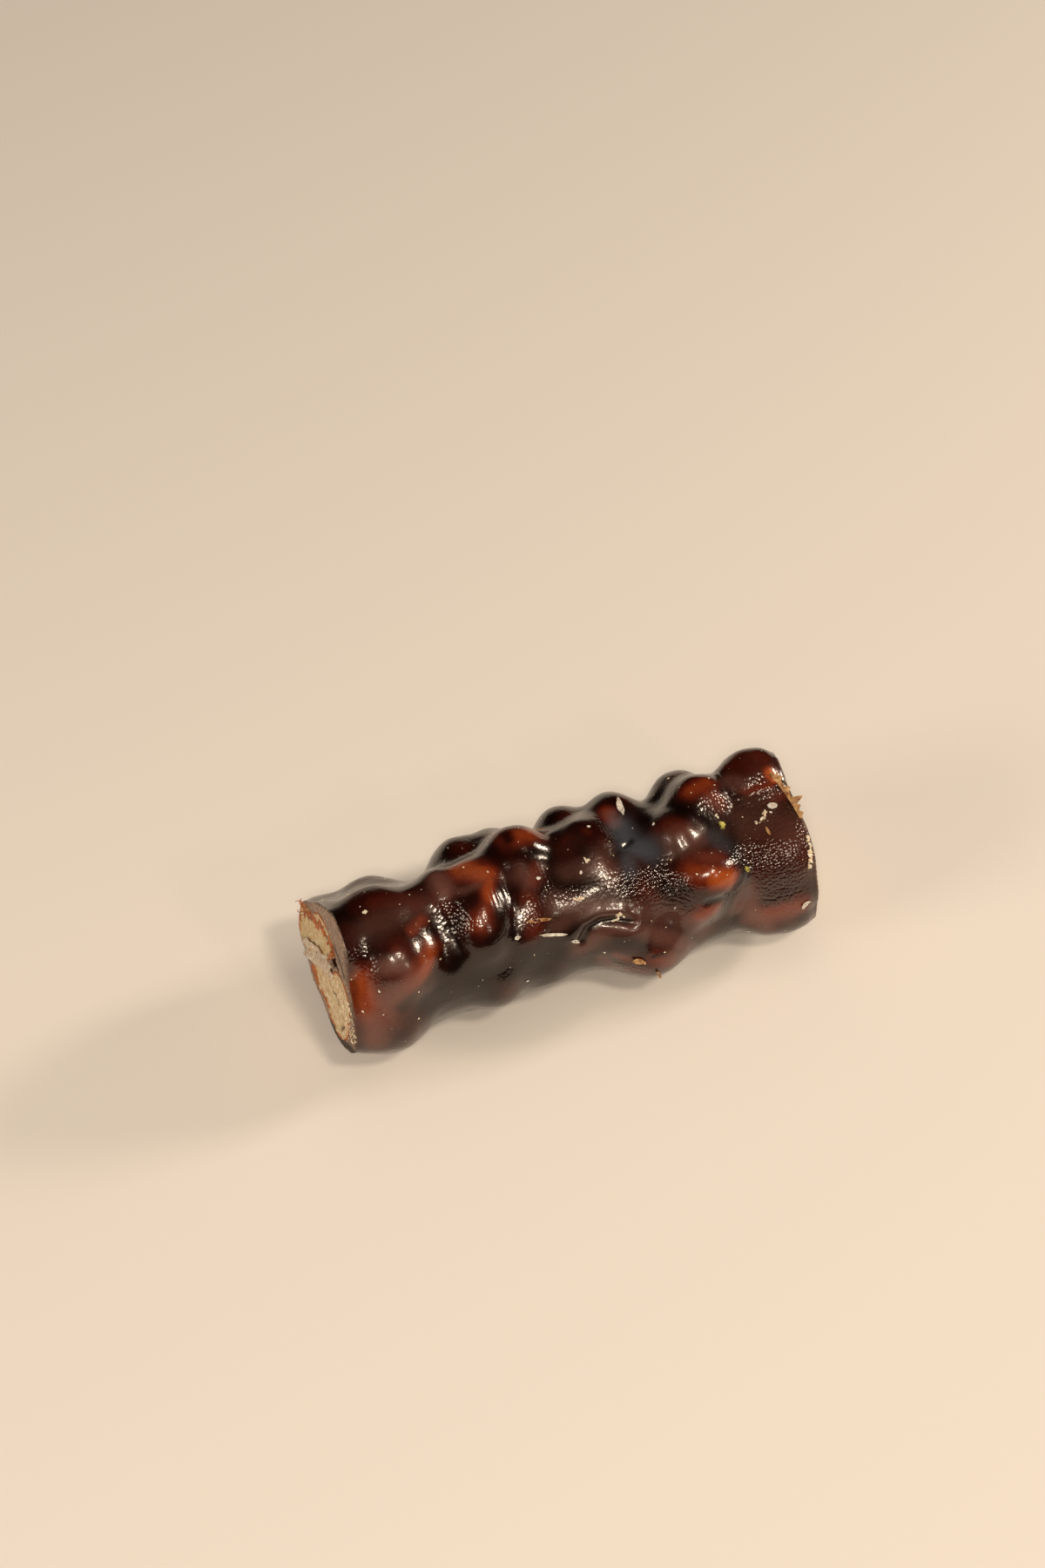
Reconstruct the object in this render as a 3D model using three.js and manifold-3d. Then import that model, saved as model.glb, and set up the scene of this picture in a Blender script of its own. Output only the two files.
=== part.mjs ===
// A length of churchkhela: walnut halves strung on a cotton thread, dipped in thickened grape must until a
// dark skin covers them, dried, and cut across at both ends. Millimetres, +X along the strand, +Z up.
// The strand is drawn round the line y = 0, z = 0 and then set down on the plane z = 0.
import * as THREE from 'three';
import { mergeVertices } from 'three/addons/utils/BufferGeometryUtils.js';
import Module from 'manifold-3d';

const wasm = await Module();
wasm.setup();

// Driving sizes of the strand
const LENGTH = 92;
const STRAND_RADIUS = 12.4;
const SPINE_HEIGHT = 15.2;
const SPINE_BOW = 3.1;
const SKIN = 1.2;
const GAP = 0.3;

// The strand thins by this much over the last stretch before the left cut
const END_TAPER = { by: 2.8, along: 9 };

// How softly the must bridges two nuts, and how sharply two lobes of one nut meet
const MUST_BRIDGE = 1.35;
const LOBE_BRIDGE = 0.6;

// Thread and papery walls
const THREAD_RADIUS = 0.6;
const SEPTUM_THICKNESS = 0.45;
const SEPTUM_DEPTH = 6.5;
const SEPTUM_PROUD = 0.5;
const SEPTUM_RIPPLE = 0.25;

// The two cuts: how far inside the end each crosses the axis, and how far it leans and tilts, in degrees:
// its back edge leans away from the middle, and its top tilts towards it
const CUT_INSET = { left: 1, right: 0 };
const CUT_LEAN = { left: 2, right: 2 };
const CUT_TILT = { left: 6, right: 0 };

// Fineness of the facets
const COAT_STATIONS = 48;
const COAT_SIDES = 42;
const NUT_DETAIL = 2;
const CUT_NUT_DETAIL = 4;
const THREAD_STEPS = 18;
const THREAD_SIDES = 6;

// Search along a ray for a surface
const REACH = 26;
const RAY_STEP = 0.5;
const RAY_HALVINGS = 14;

const rad = THREE.MathUtils.degToRad;
const HALF = LENGTH / 2;

// Direction across the strand: 0 degrees is up, 90 faces the front (-Y), 180 is down
const across = (turn) => new THREE.Vector3(0, -Math.sin(rad(turn)), Math.cos(rad(turn)));

// The middle line of the strand bows to the back: it starts at the left cut and comes part of the way home
function spineY(x) {
  return SPINE_BOW * Math.sin(0.8 * Math.PI * ((x + HALF) / LENGTH));
}

function onSpine(x, turn = 0, out = 0) {
  return new THREE.Vector3(x, spineY(x), 0).addScaledVector(across(turn), out);
}

// The cuts cross the strand at these places
const cutLeft = -HALF + CUT_INSET.left;
const cutRight = HALF - CUT_INSET.right;

// A lobe is an ellipsoid: its place round the strand, then its half sizes along it, round it and outwards
function lobe(x, turn, out, long, wide, high, twist = 0) {
  const outwards = across(turn);
  const along = new THREE.Vector3(1, 0, 0).applyAxisAngle(outwards, rad(twist));
  const round = new THREE.Vector3().crossVectors(outwards, along);
  return { at: onSpine(x, turn, out), axes: [along, round, outwards], half: [long, wide, high] };
}

function ellipsoidDistance(point, { at, axes, half }) {
  const from = point.clone().sub(at);
  let near = 0;
  let far = 0;
  axes.forEach((axis, i) => {
    const part = from.dot(axis) / half[i];
    near += part * part;
    far += (part / half[i]) ** 2;
  });
  const k = Math.sqrt(near);
  return (k * (k - 1)) / Math.max(Math.sqrt(far), 1e-9);
}

// Smooth join of several distances
function blend(distances, softness) {
  const least = Math.min(...distances);
  const sum = distances.reduce((total, d) => total + Math.exp((least - d) / softness), 0);
  return least - softness * Math.log(sum);
}

function nutDistance(point, nut) {
  return blend(nut.lobes.map((one) => ellipsoidDistance(point, one)), LOBE_BRIDGE);
}

// Walnut halves between the cuts. Each is known by the lumps it raises in the coat and by its colour
// through it. A nut has a core that the thread runs through, and lobes round it.
const wholeNuts = [
  {
    name: 'kernel_b',
    centre: onSpine(-18),
    lobes: [
      lobe(-18, 0, 0, 4.2, 9.0, 9.0),
      lobe(-16.8, 12, 9.8, 4.5, 8.8, 6.2, -9),
      lobe(-22.4, -12, 9.8, 3.6, 4.8, 5.8),
      lobe(-16.2, 98, 7.8, 3.6, 5.6, 5.8),
      lobe(-19.8, 170, 8.6, 4.2, 5.8, 6.7),
      lobe(-15.8, -66, 10.8, 4.4, 5.8, 6.0),
      lobe(-20.2, -116, 8.8, 3.8, 5.4, 6.0),
    ],
  },
  {
    name: 'kernel_c',
    centre: onSpine(-7.3),
    lobes: [
      lobe(-7.3, 0, 0, 3.8, 8.6, 8.6),
      lobe(-6.5, -24, 11.6, 5.0, 5.4, 5.6),
      lobe(-8.2, 24, 8.6, 3.9, 7.4, 4.9, -14),
      lobe(-6.0, 104, 7.0, 3.6, 5.2, 5.4),
      lobe(-8.6, 196, 8.0, 3.6, 5.6, 6.2),
      lobe(-8.6, -68, 10.6, 4.0, 5.2, 5.8),
      lobe(-9.6, -108, 9.2, 3.7, 5.0, 6.0),
    ],
  },
  {
    name: 'kernel_d',
    centre: onSpine(3.2),
    lobes: [
      lobe(3.2, 0, 0, 3.6, 8.2, 8.2),
      lobe(6.2, -14, 9.6, 5.0, 6.2, 5.2),
      lobe(4.6, -66, 10.6, 4.0, 5.4, 6.0),
      lobe(1.6, 176, 8.8, 3.6, 5.8, 6.4),
      lobe(1.8, -116, 9.2, 3.6, 5.0, 5.9),
    ],
  },
  {
    name: 'kernel_e',
    centre: onSpine(12.8, 90, 2.4),
    lobes: [
      lobe(12.8, 90, 2.4, 3.8, 8.0, 7.6),
      lobe(8.9, 75, 10.4, 4.2, 4.4, 4.8),
      lobe(13.4, 102, 11.7, 6.0, 5.8, 5.9),
      lobe(13.2, 38, 8.4, 4.2, 5.2, 5.0),
      lobe(12.2, 152, 9.0, 4.0, 5.4, 5.8),
      lobe(14.2, -54, 10.4, 4.2, 5.8, 5.8),
      lobe(14.4, -110, 8.6, 3.6, 5.0, 5.8),
    ],
  },
  {
    name: 'kernel_f',
    centre: onSpine(25),
    lobes: [
      lobe(25, 0, 0, 4.2, 8.6, 8.6),
      lobe(25.5, 43, 12.0, 5.3, 3.9, 5.2),
      lobe(23.4, 65, 10.4, 3.3, 3.0, 4.6),
      lobe(22.6, 5, 10.0, 3.4, 4.2, 4.8),
      lobe(29.4, -26, 11.6, 4.4, 4.4, 5.2, 20),
      lobe(28.0, -62, 11.2, 4.6, 5.2, 5.8),
      lobe(27.2, 106, 7.4, 3.6, 4.6, 5.4),
      lobe(24.0, 170, 8.8, 4.3, 5.6, 6.4),
      lobe(25.0, -112, 9.6, 4.2, 5.2, 6.0),
    ],
  },
];

// Halves that the knife went through. A hollow is a fold of the nut that the must has filled.
const cutNuts = [
  {
    name: 'kernel_left_lower',
    centre: onSpine(-41.5, 108, 3.6),
    lobes: [
      lobe(-42.6, 68, 5.2, 9.4, 5.0, 4.4),
      lobe(-42.8, 134, 5.6, 9.2, 5.8, 4.9),
      lobe(-42.8, -149, 2.9, 9.0, 4.7, 4.7),
      lobe(-43.2, -131, 7.8, 7.4, 3.0, 4.9),
      lobe(-36.8, 108, 7.6, 6.2, 7.0, 6.9),
      lobe(-36.6, 164, 9.2, 5.2, 5.6, 5.4),
      lobe(-34.2, 32, 9.8, 5.4, 6.2, 5.8, 12),
    ],
    hollows: [lobe(-45.5, 162, 11.2, 5.5, 0.9, 3.6)],
  },
  {
    name: 'kernel_left_upper',
    centre: onSpine(-41, -68, 9.2),
    lobes: [
      lobe(-42.4, -44, 8.9, 8.4, 4.9, 3.9),
      lobe(-42.8, -85, 12.3, 8.0, 4.2, 4.2),
      lobe(-43.6, -102, 14.4, 6.0, 2.9, 2.7),
      lobe(-35.0, -16, 10.2, 5.8, 5.8, 5.6),
      lobe(-33.6, -76, 10.0, 5.8, 6.2, 5.8),
    ],
  },
  {
    name: 'kernel_right_front',
    centre: onSpine(41, 78, 7.6),
    lobes: [
      lobe(40.4, 46, 9.6, 8.2, 5.3, 5.4),
      lobe(41.4, 82, 9.4, 8.2, 4.6, 4.7),
      lobe(40.2, 112, 10.4, 7.8, 4.4, 5.2),
    ],
    hollows: [lobe(46.0, 80, 4.2, 5.0, 3.0, 2.6)],
  },
  {
    name: 'kernel_right_back',
    centre: onSpine(41, -50, 8.6),
    lobes: [
      lobe(41.4, -42, 12.6, 6.0, 5.0, 5.4),
      lobe(42.0, -72, 9.6, 8.4, 4.8, 4.8),
      lobe(42.0, -38, 7.8, 7.8, 3.9, 3.8),
    ],
  },
  {
    name: 'kernel_right_lower',
    centre: onSpine(41.5, -160, 7.2),
    lobes: [
      lobe(41.6, 178, 9.2, 8.4, 4.2, 4.8),
      lobe(42.0, -158, 6.2, 8.6, 4.4, 3.6),
      lobe(41.8, -132, 10.2, 8.2, 4.2, 4.8),
    ],
    hollows: [lobe(46.0, -157, 11.8, 5.2, 1.7, 3.8)],
  },
];

// Lumps of must alone, where it ran thick: over the left cut and in its front corner, as a band along the
// front of the middle, and as webs beside the lobe at the front
const mustLumps = [
  lobe(-46.0, -42, 9.0, 7.0, 8.0, 6.2),
  lobe(-45.6, -2, 12.7, 6.5, 6.6, 5.0),
  lobe(-44.6, 110, 8.4, 6.0, 3.6, 4.4),
  lobe(2.6, 40, 8.8, 10.0, 5.4, 5.2),
  lobe(5.6, 104, 8.0, 5.0, 4.6, 4.8),
  lobe(20.4, 110, 9.6, 5.0, 5.0, 5.4),
];

// Open hole in the must above the left halves, as the drying skin left it, in two parts
const openHole = [
  lobe(cutLeft, -9, 7.7, 4.4, 2.0, 3.2),
  lobe(cutLeft, 9, 7.2, 3.4, 1.6, 0.9),
];

// The strand without its lumps: a round of must that tapers a little towards the left cut
function bareDistance(point) {
  const taper = END_TAPER.by * THREE.MathUtils.smoothstep(-point.x, HALF - END_TAPER.along, HALF);
  return Math.hypot(point.y - spineY(point.x), point.z) - STRAND_RADIUS + taper;
}

// The coat: that round, joined smoothly to the skin over each nut
function coatDistance(point) {
  const bare = bareDistance(point);
  const overNuts = [...wholeNuts, ...cutNuts].map((nut) => nutDistance(point, nut) - SKIN);
  const thick = mustLumps.map((one) => ellipsoidDistance(point, one));
  return blend([bare, ...overNuts, ...thick], MUST_BRIDGE);
}

// Distance from a start along a direction to the outermost place where a field changes sign
function reach(field, start, direction) {
  const at = (r) => field(start.clone().addScaledVector(direction, r));
  let outside = REACH;
  while (outside > RAY_STEP && at(outside - RAY_STEP) > 0) {
    outside -= RAY_STEP;
  }
  let inside = outside - RAY_STEP;
  for (let i = 0; i < RAY_HALVINGS; i += 1) {
    const middle = (inside + outside) / 2;
    if (at(middle) > 0) {
      outside = middle;
    } else {
      inside = middle;
    }
  }
  return (inside + outside) / 2;
}

// Closed geometry to solid, and back
function solid(geometry) {
  const bare = geometry.clone();
  bare.deleteAttribute('normal');
  bare.deleteAttribute('uv');
  const merged = mergeVertices(bare, 1e-4);
  const vertProperties = new Float32Array(merged.attributes.position.array);
  const triVerts = new Uint32Array(merged.index.array);
  return new wasm.Manifold(new wasm.Mesh({ numProp: 3, vertProperties, triVerts }));
}

function geometryOf(body) {
  const { vertProperties, triVerts } = body.getMesh();
  const geometry = new THREE.BufferGeometry();
  geometry.setAttribute('position', new THREE.BufferAttribute(new Float32Array(vertProperties), 3));
  geometry.setIndex(new THREE.BufferAttribute(new Uint32Array(triVerts), 1));
  geometry.computeVertexNormals();
  return geometry;
}

// Skin from rings of points: quads between neighbouring rings, and a fan over each end
function loft(rings) {
  const sides = rings[0].length;
  const centreOf = (ring) => ring.reduce((sum, p) => sum.add(p), new THREE.Vector3()).divideScalar(sides);
  const points = [...rings.flat(), centreOf(rings[0]), centreOf(rings.at(-1))];
  const first = rings.length * sides;
  const faces = [];
  for (let i = 0; i < rings.length - 1; i += 1) {
    for (let j = 0; j < sides; j += 1) {
      const a = i * sides + j;
      const b = i * sides + ((j + 1) % sides);
      faces.push(a, b, a + sides, b, b + sides, a + sides);
    }
  }
  for (let j = 0; j < sides; j += 1) {
    const next = (j + 1) % sides;
    const last = first - sides;
    faces.push(first, next, j);
    faces.push(first + 1, last + j, last + next);
  }
  const geometry = new THREE.BufferGeometry().setFromPoints(points);
  geometry.setIndex(faces);
  return geometry;
}

// Each cut is a plane across the strand. Its normal points into the strand.
function intoStrand(side) {
  const backwards = Math.tan(rad(CUT_LEAN[side]));
  const upwards = -Math.tan(rad(CUT_TILT[side]));
  return new THREE.Vector3(side === 'left' ? 1 : -1, backwards, upwards).normalize();
}

// The part of a body between the two planes is kept
function betweenCuts(body) {
  const fromLeft = intoStrand('left');
  const fromRight = intoStrand('right');
  return body
    .trimByPlane(fromLeft.toArray(), cutLeft * fromLeft.x)
    .trimByPlane(fromRight.toArray(), cutRight * fromRight.x);
}

function coatSolid() {
  const spare = 2.5;
  const rings = [];
  for (let i = 0; i <= COAT_STATIONS; i += 1) {
    const x = THREE.MathUtils.lerp(-HALF - spare, HALF + spare, i / COAT_STATIONS);
    const ring = [];
    for (let j = 0; j < COAT_SIDES; j += 1) {
      const turn = (360 * j) / COAT_SIDES;
      const radius = reach(coatDistance, onSpine(x), across(turn));
      ring.push(onSpine(x, turn, radius));
    }
    rings.push(ring);
  }
  const standing = solid(loft(rings)).trimByPlane([0, 0, 1], -SPINE_HEIGHT);
  return betweenCuts(standing);
}

// A nut's surface lies where its field has the value of grow, so that a pocket is the same shape, only
// a little larger
function nutSolid(nut, detail, grow) {
  const geometry = new THREE.IcosahedronGeometry(1, detail);
  const place = geometry.attributes.position;
  const direction = new THREE.Vector3();
  for (let i = 0; i < place.count; i += 1) {
    direction.fromBufferAttribute(place, i).normalize();
    const r = reach((point) => nutDistance(point, nut) - grow, nut.centre, direction);
    const at = nut.centre.clone().addScaledVector(direction, r);
    place.setXYZ(i, at.x, at.y, at.z);
  }
  return solid(geometry);
}

function ellipsoidSolid({ at, axes, half }, grow = 0) {
  const geometry = new THREE.SphereGeometry(1, 8, 6);
  const turned = new THREE.Matrix4().makeBasis(...axes);
  const sized = new THREE.Matrix4().makeScale(...half.map((size) => size + grow));
  geometry.applyMatrix4(sized);
  geometry.applyMatrix4(turned);
  geometry.translate(at.x, at.y, at.z);
  return solid(geometry);
}

// The thread runs between the halves at the cuts and through the cores of the others
const threadLine = new THREE.CatmullRomCurve3([
  onSpine(-HALF - 2, -28, 5.6),
  onSpine(-38, -28, 5.0),
  onSpine(-29, -20, 1.2),
  onSpine(-18, 60, 0.6),
  onSpine(-7.5, -60, 0.6),
  onSpine(3.2, 90, 0.8),
  onSpine(12.6, 90, 1.6),
  onSpine(25, 40, 0.6),
  onSpine(34, 0, 0.5),
  onSpine(HALF + 1, 10, 1.6),
]);

function threadSolid(radius) {
  const section = new THREE.Shape();
  for (let i = 0; i < THREAD_SIDES; i += 1) {
    const angle = (2 * Math.PI * i) / THREAD_SIDES;
    const x = radius * Math.cos(angle);
    const y = radius * Math.sin(angle);
    if (i === 0) {
      section.moveTo(x, y);
    } else {
      section.lineTo(x, y);
    }
  }
  section.closePath();
  const options = { steps: THREAD_STEPS, extrudePath: threadLine, bevelEnabled: false };
  return solid(new THREE.ExtrudeGeometry(section, options));
}

// Papery wall between two halves: a thin wavy sheet that goes in from the cut, with its two edges at
// the places called from and to
function septumSolid({ cut, lean, tilt, from, to, waves }, thickness) {
  const columns = 8;
  const rows = 2;
  const inwards = new THREE.Vector3(-Math.sign(cut), 0, 0);
  const span = new THREE.Vector3().subVectors(to, from);
  const face = new THREE.Vector3().crossVectors(inwards, span).normalize();
  const growth = thickness - SEPTUM_THICKNESS;
  const rings = [];
  for (let i = 0; i <= columns; i += 1) {
    const s = THREE.MathUtils.lerp(-growth / span.length(), 1 + growth / span.length(), i / columns);
    const upper = [];
    const lower = [];
    for (let j = 0; j <= rows; j += 1) {
      const t = j / rows;
      const depth = THREE.MathUtils.lerp(-SEPTUM_PROUD - growth, SEPTUM_DEPTH + growth, t);
      const ripple = SEPTUM_RIPPLE * Math.sin(waves * Math.PI * s + 1.3 * t);
      const middle = from.clone().addScaledVector(span, s).addScaledVector(face, ripple);
      const slope = Math.tan(rad(tilt)) * middle.z - Math.tan(rad(lean)) * middle.y;
      middle.x = cut + inwards.x * (depth + slope);
      upper.push(middle.clone().addScaledVector(face, thickness / 2));
      lower.push(middle.clone().addScaledVector(face, -thickness / 2));
    }
    rings.push([...upper, ...lower.reverse()]);
  }
  return solid(loft(rings));
}

const septa = [
  {
    name: 'septum_left',
    cut: cutLeft,
    lean: CUT_LEAN.left,
    tilt: CUT_TILT.left,
    from: onSpine(-HALF, -116, 14.4),
    to: onSpine(-HALF, -52, 4.3),
    waves: 3,
  },
  {
    name: 'septum_right',
    cut: cutRight,
    lean: CUT_LEAN.right,
    tilt: CUT_TILT.right,
    from: onSpine(HALF, -102, 11.2),
    to: onSpine(HALF, -104, 3.4),
    waves: 2.4,
  },
];

// Bodies, each cut out of the next: thread, papery walls, halves, then the coat round them all
const union = (bodies) => bodies.reduce((sum, body) => sum.add(body));
const looseFit = 2 * GAP;
const threadBody = betweenCuts(threadSolid(THREAD_RADIUS));
const threadChannel = threadSolid(THREAD_RADIUS + GAP);
const septumBodies = septa.map((one) => septumSolid(one, SEPTUM_THICKNESS).subtract(threadChannel));
const septumSlots = union(septa.map((one) => septumSolid(one, SEPTUM_THICKNESS + looseFit)));

function nutWith(nut, detail, grow) {
  const body = nutSolid(nut, detail, grow);
  const hollows = (nut.hollows ?? []).map((one) => ellipsoidSolid(one, -grow));
  return hollows.length > 0 ? body.subtract(union(hollows)) : body;
}

const nuts = [
  ...cutNuts.map((nut) => ({ nut, detail: CUT_NUT_DETAIL })),
  ...wholeNuts.map((nut) => ({ nut, detail: NUT_DETAIL })),
];
const pockets = nuts.map(({ nut, detail }) => nutWith(nut, detail, GAP));
const nutBodies = nuts.map(({ nut, detail }, i) => {
  const others = union([threadChannel, septumSlots, ...pockets.slice(0, i)]);
  return { name: nut.name, body: betweenCuts(nutWith(nut, detail, 0)).subtract(others) };
});
const openings = [...pockets, threadChannel, septumSlots, ...openHole.map((one) => ellipsoidSolid(one))];
const coatBody = coatSolid().subtract(union(openings));

// Materials
const must = new THREE.MeshStandardMaterial({ color: 0x2a0f0c, roughness: 0.22, metalness: 0 });
const kernel = new THREE.MeshStandardMaterial({ color: 0xd9b988, roughness: 0.7, metalness: 0 });
const cotton = new THREE.MeshStandardMaterial({ color: 0xb48a5c, roughness: 0.9, metalness: 0 });
const paper = new THREE.MeshStandardMaterial({ color: 0xb9a58c, roughness: 0.8, metalness: 0 });

function part(name, body, material) {
  const mesh = new THREE.Mesh(geometryOf(body), material.clone());
  mesh.name = name;
  return mesh;
}

const strand = new THREE.Group();
strand.add(part('must_coat', coatBody, must));
nutBodies.forEach(({ name, body }) => strand.add(part(name, body, kernel)));
strand.add(part('thread', threadBody, cotton));
septa.forEach(({ name }, i) => strand.add(part(name, septumBodies[i], paper)));

// Set down: the middle of its box over the origin, its flat spots on z = 0
const box = new THREE.Box3().setFromObject(strand);
const middle = box.getCenter(new THREE.Vector3());
strand.position.set(-middle.x, -middle.y, -box.min.z);
const churchkhela = new THREE.Group();
churchkhela.add(strand);

export default churchkhela;
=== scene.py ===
import math
import random

import bpy
import numpy as np
from mathutils import Matrix, Vector, noise
from mathutils.bvhtree import BVHTree


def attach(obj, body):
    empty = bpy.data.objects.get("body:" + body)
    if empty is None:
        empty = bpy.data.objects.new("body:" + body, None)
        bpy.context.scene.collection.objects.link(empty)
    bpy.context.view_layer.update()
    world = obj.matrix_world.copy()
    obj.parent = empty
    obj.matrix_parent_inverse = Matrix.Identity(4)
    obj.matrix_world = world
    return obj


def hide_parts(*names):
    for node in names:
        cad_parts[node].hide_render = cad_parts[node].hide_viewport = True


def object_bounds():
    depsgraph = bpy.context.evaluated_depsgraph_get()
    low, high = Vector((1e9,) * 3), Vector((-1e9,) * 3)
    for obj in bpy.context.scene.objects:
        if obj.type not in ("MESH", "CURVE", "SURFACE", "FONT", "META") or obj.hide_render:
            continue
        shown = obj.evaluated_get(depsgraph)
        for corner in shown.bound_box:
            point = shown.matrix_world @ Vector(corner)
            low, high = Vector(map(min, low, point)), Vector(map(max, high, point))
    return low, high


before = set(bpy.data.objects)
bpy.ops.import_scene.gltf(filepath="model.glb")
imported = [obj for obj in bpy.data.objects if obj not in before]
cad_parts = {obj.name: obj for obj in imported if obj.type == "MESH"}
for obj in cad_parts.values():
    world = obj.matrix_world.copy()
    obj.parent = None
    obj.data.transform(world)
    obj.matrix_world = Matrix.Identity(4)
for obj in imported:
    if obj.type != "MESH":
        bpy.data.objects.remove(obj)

cad_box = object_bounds()
mm = 0.001

# The camera looks down on the strand from the front and a little from its left, as the photograph does.
# The photograph is 1200 by 1800, and a millimetre in the middle of the strand takes 6.2 of its pixels.
photo_size = (1200, 1800)
pixels_per_mm = 6.2
strand_middle = Vector((-0.17 * mm, -0.77 * mm, 15.6 * mm))
strand_middle_pixel = (647, 1043)
camera_azimuth = math.radians(-21)
camera_elevation = math.radians(55)
camera_distance = 600 * mm
towards_camera = Vector((
    math.sin(camera_azimuth) * math.cos(camera_elevation),
    -math.cos(camera_azimuth) * math.cos(camera_elevation),
    math.sin(camera_elevation),
))
image_right = Vector((math.cos(camera_azimuth), math.sin(camera_azimuth), 0))
image_up = towards_camera.cross(image_right)
eye = strand_middle + camera_distance * towards_camera
pixel = mm / pixels_per_mm
aim = strand_middle + pixel * (
    (photo_size[0] / 2 - strand_middle_pixel[0]) * image_right
    + (strand_middle_pixel[1] - photo_size[1] / 2) * image_up
)
bpy.ops.object.camera_add(location=eye)
camera = bpy.context.object
camera.name = "camera"
camera.rotation_euler = (eye - aim).to_track_quat("Z", "Y").to_euler()
camera.data.sensor_width = 36
camera.data.lens = camera.data.sensor_width * camera_distance / (photo_size[1] * pixel)
camera.data.clip_start = 10 * mm
camera.data.clip_end = 10
bpy.context.scene.camera = camera
bpy.context.view_layer.update()


def sight_line(at):
    """Direction from the camera through a pixel of the photograph."""
    turn = camera.matrix_world.to_3x3()
    away = (eye - aim).length
    across = (at[0] - photo_size[0] / 2) * pixel
    upwards = (photo_size[1] / 2 - at[1]) * pixel
    return (turn @ Vector((across, upwards, -away))).normalized()


# The cotton thread that carries the nuts: they are pushed onto it with a needle before the dipping. It lies
# inside the strand, stained by the must, and ends at the two cuts.
def colour(red, green, blue):
    """Linear colour from the 0 to 255 values that a screen shows."""
    straight = [c / 255 / 12.92 if c <= 10 else ((c / 255 + 0.055) / 1.055) ** 2.4 for c in (red, green, blue)]
    return (*straight, 1)


def material(name, **sockets):
    """New material whose shader has these plain values, with its node tree and its shader."""
    made = bpy.data.materials.new(name)
    made.use_nodes = True
    shader = made.node_tree.nodes["Principled BSDF"]
    for socket, value in sockets.items():
        shader.inputs[socket.replace("_", " ")].default_value = value
    return made, made.node_tree, shader


def add_node(tree, kind, **settings):
    """New node of a tree. Settings that name an input set its value, and the others are the node's own."""
    node = tree.nodes.new(kind)
    for key, value in settings.items():
        if hasattr(node, key):
            setattr(node, key, value)
        else:
            node.inputs[key.replace("_", " ")].default_value = value
    return node


def own_place(tree):
    """The piece's own coordinates."""
    return add_node(tree, "ShaderNodeTexCoord").outputs["Object"]


def ramp(tree, share, *stops):
    """Colour that runs through stops of (place, colour) as a share goes from 0 to 1."""
    node = tree.nodes.new("ShaderNodeValToRGB")
    stop_list = node.color_ramp.elements
    while len(stop_list) < len(stops):
        stop_list.new(0.5)
    for stop, (place, tint) in zip(stop_list, stops):
        stop.position = place
        stop.color = tint
    tree.links.new(share, node.inputs["Fac"])
    return node.outputs["Color"]


def maths(tree, operation, first, second):
    """Math node. Each operand is a number or an output."""
    node = add_node(tree, "ShaderNodeMath", operation=operation)
    for socket, value in zip(node.inputs, (first, second)):
        if isinstance(value, bpy.types.NodeSocket):
            tree.links.new(value, socket)
        else:
            socket.default_value = value
    return node.outputs[0]


def between(tree, share, first, second):
    """Mix of two colours by a share. Each is a colour or an output."""
    node = add_node(tree, "ShaderNodeMix", data_type="RGBA")
    for socket, value in ((node.inputs[0], share), (node.inputs[6], first), (node.inputs[7], second)):
        if isinstance(value, bpy.types.NodeSocket):
            tree.links.new(value, socket)
        else:
            socket.default_value = value
    return node.outputs[2]


def select_only(piece):
    bpy.ops.object.select_all(action="DESELECT")
    piece.select_set(True)
    bpy.context.view_layer.objects.active = piece


def edit_all(piece):
    select_only(piece)
    bpy.ops.object.mode_set(mode="EDIT")
    bpy.ops.mesh.select_all(action="SELECT")


cotton, cotton_tree, cotton_shader = material("stained_cotton", Roughness=0.85, Specular_IOR_Level=0.3)
cotton_twist = add_node(cotton_tree, "ShaderNodeTexWave", Scale=900, Distortion=2.0)
cotton_tree.links.new(own_place(cotton_tree), cotton_twist.inputs["Vector"])
cotton_tint = ramp(
    cotton_tree, cotton_twist.outputs["Fac"], (0.0, colour(92, 52, 28)), (1.0, colour(178, 126, 78)),
)
cotton_tree.links.new(cotton_tint, cotton_shader.inputs["Base Color"])
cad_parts["thread"].data.materials.clear()
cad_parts["thread"].data.materials.append(cotton)

# The walnut halves inside the strand, threaded through the middle. They keep their own brown skin, and only
# their colour is seen, through the must.
grain_group = bpy.data.node_groups.new("grain", "ShaderNodeTree")
grain_group.interface.new_socket(name="Place", in_out="INPUT", socket_type="NodeSocketVector")
for name in ("Scale", "Detail", "Roughness"):
    grain_group.interface.new_socket(name=name, in_out="INPUT", socket_type="NodeSocketFloat")
grain_group.interface.new_socket(name="Share", in_out="OUTPUT", socket_type="NodeSocketFloat")
grain_entry = grain_group.nodes.new("NodeGroupInput")
grain_noise = grain_group.nodes.new("ShaderNodeTexNoise")
grain_result = grain_group.nodes.new("NodeGroupOutput")
grain_group.links.new(grain_entry.outputs["Place"], grain_noise.inputs["Vector"])
for name in ("Scale", "Detail", "Roughness"):
    grain_group.links.new(grain_entry.outputs[name], grain_noise.inputs[name])
grain_group.links.new(grain_noise.outputs["Fac"], grain_result.inputs["Share"])


def grain_in(tree, scale, detail, roughness=0.5):
    """The grain that the materials share, placed in one of them with its own values."""
    node = add_node(tree, "ShaderNodeGroup", node_tree=grain_group, Scale=scale, Detail=detail, Roughness=roughness)
    tree.links.new(own_place(tree), node.inputs["Place"])
    return node.outputs["Share"]


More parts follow.
